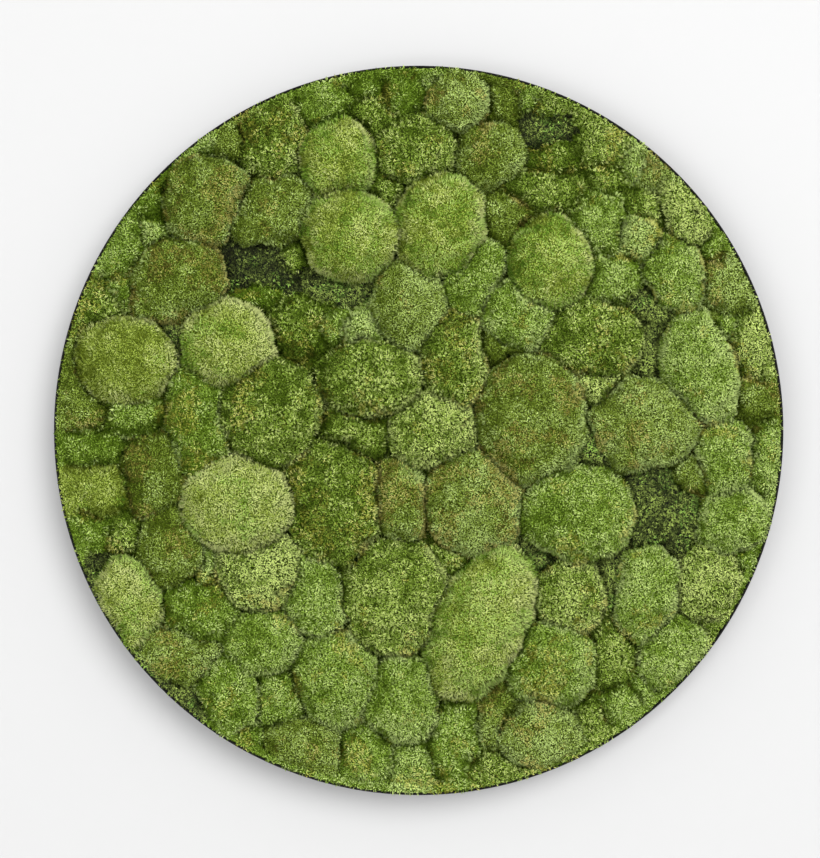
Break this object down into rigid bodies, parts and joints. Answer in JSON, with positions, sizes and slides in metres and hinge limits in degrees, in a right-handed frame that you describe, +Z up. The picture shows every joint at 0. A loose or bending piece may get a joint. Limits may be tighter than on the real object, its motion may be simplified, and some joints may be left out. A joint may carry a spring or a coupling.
{
  "type": "round framed moss picture",
  "caption": "Round wall picture of preserved moss cushions packed side by side in a thin dark frame, hung by a keyhole plate in its back.",
  "frame": {"origin": "centre of the flat back of the picture, on the wall's plane", "axes": "+Y out of the back into the wall, so the moss faces -Y; +Z up as it hangs; +X to the right as seen from the front"},
  "size_m": [0.8, 0.0773, 0.8],
  "materials": {
    "pale_moss": "matt, fine velvety preserved cushion moss, pale yellow-green tips over darker stems",
    "green_moss": "matt preserved cushion moss, mid green with fine upright shoots",
    "olive_moss": "matt preserved cushion moss, olive green tinged with brown",
    "tufted_moss": "matt preserved moss of coarser leafy shoots",
    "dark_moss": "matt preserved moss, dark blue-green and loose",
    "bed_moss": "matt preserved moss, dark in the creases between the cushions",
    "rim": "thin steel strip with a satin black powder coat",
    "board": "medium-density fibreboard, unpainted",
    "hanger_plate": "zinc-plated steel"
  },
  "bodies": {
    "root": {"board": "board", "dark_cushion_1": "dark_moss", "green_cushion_1": "green_moss", "green_cushion_10": "green_moss", "green_cushion_11": "green_moss", "green_cushion_12": "green_moss", "green_cushion_13": "green_moss", "green_cushion_14": "green_moss", "green_cushion_15": "green_moss", "green_cushion_16": "green_moss", "green_cushion_17": "green_moss", "green_cushion_2": "green_moss", "green_cushion_3": "green_moss", "green_cushion_4": "green_moss", "green_cushion_5": "green_moss", "green_cushion_6": "green_moss", "green_cushion_7": "green_moss", "green_cushion_8": "green_moss", "green_cushion_9": "green_moss", "hanger_plate": "hanger_plate", "moss_bed": "bed_moss", "olive_cushion_1": "olive_moss", "olive_cushion_10": "olive_moss", "olive_cushion_11": "olive_moss", "olive_cushion_12": "olive_moss", "olive_cushion_13": "olive_moss", "olive_cushion_14": "olive_moss", "olive_cushion_15": "olive_moss", "olive_cushion_2": "olive_moss", "olive_cushion_3": "olive_moss", "olive_cushion_4": "olive_moss", "olive_cushion_5": "olive_moss", "olive_cushion_6": "olive_moss", "olive_cushion_7": "olive_moss", "olive_cushion_8": "olive_moss", "olive_cushion_9": "olive_moss", "pale_cushion_1": "pale_moss", "pale_cushion_2": "pale_moss", "pale_cushion_3": "pale_moss", "pale_cushion_4": "pale_moss", "pale_cushion_5": "pale_moss", "pale_cushion_6": "pale_moss", "pale_cushion_7": "pale_moss", "pale_cushion_8": "pale_moss", "pale_cushion_9": "pale_moss", "rim": "rim", "tufted_cushion_1": "tufted_moss", "tufted_cushion_10": "tufted_moss", "tufted_cushion_11": "tufted_moss", "tufted_cushion_12": "tufted_moss", "tufted_cushion_13": "tufted_moss", "tufted_cushion_2": "tufted_moss", "tufted_cushion_3": "tufted_moss", "tufted_cushion_4": "tufted_moss", "tufted_cushion_5": "tufted_moss", "tufted_cushion_6": "tufted_moss", "tufted_cushion_7": "tufted_moss", "tufted_cushion_8": "tufted_moss", "tufted_cushion_9": "tufted_moss"}
  },
  "joints": []
}
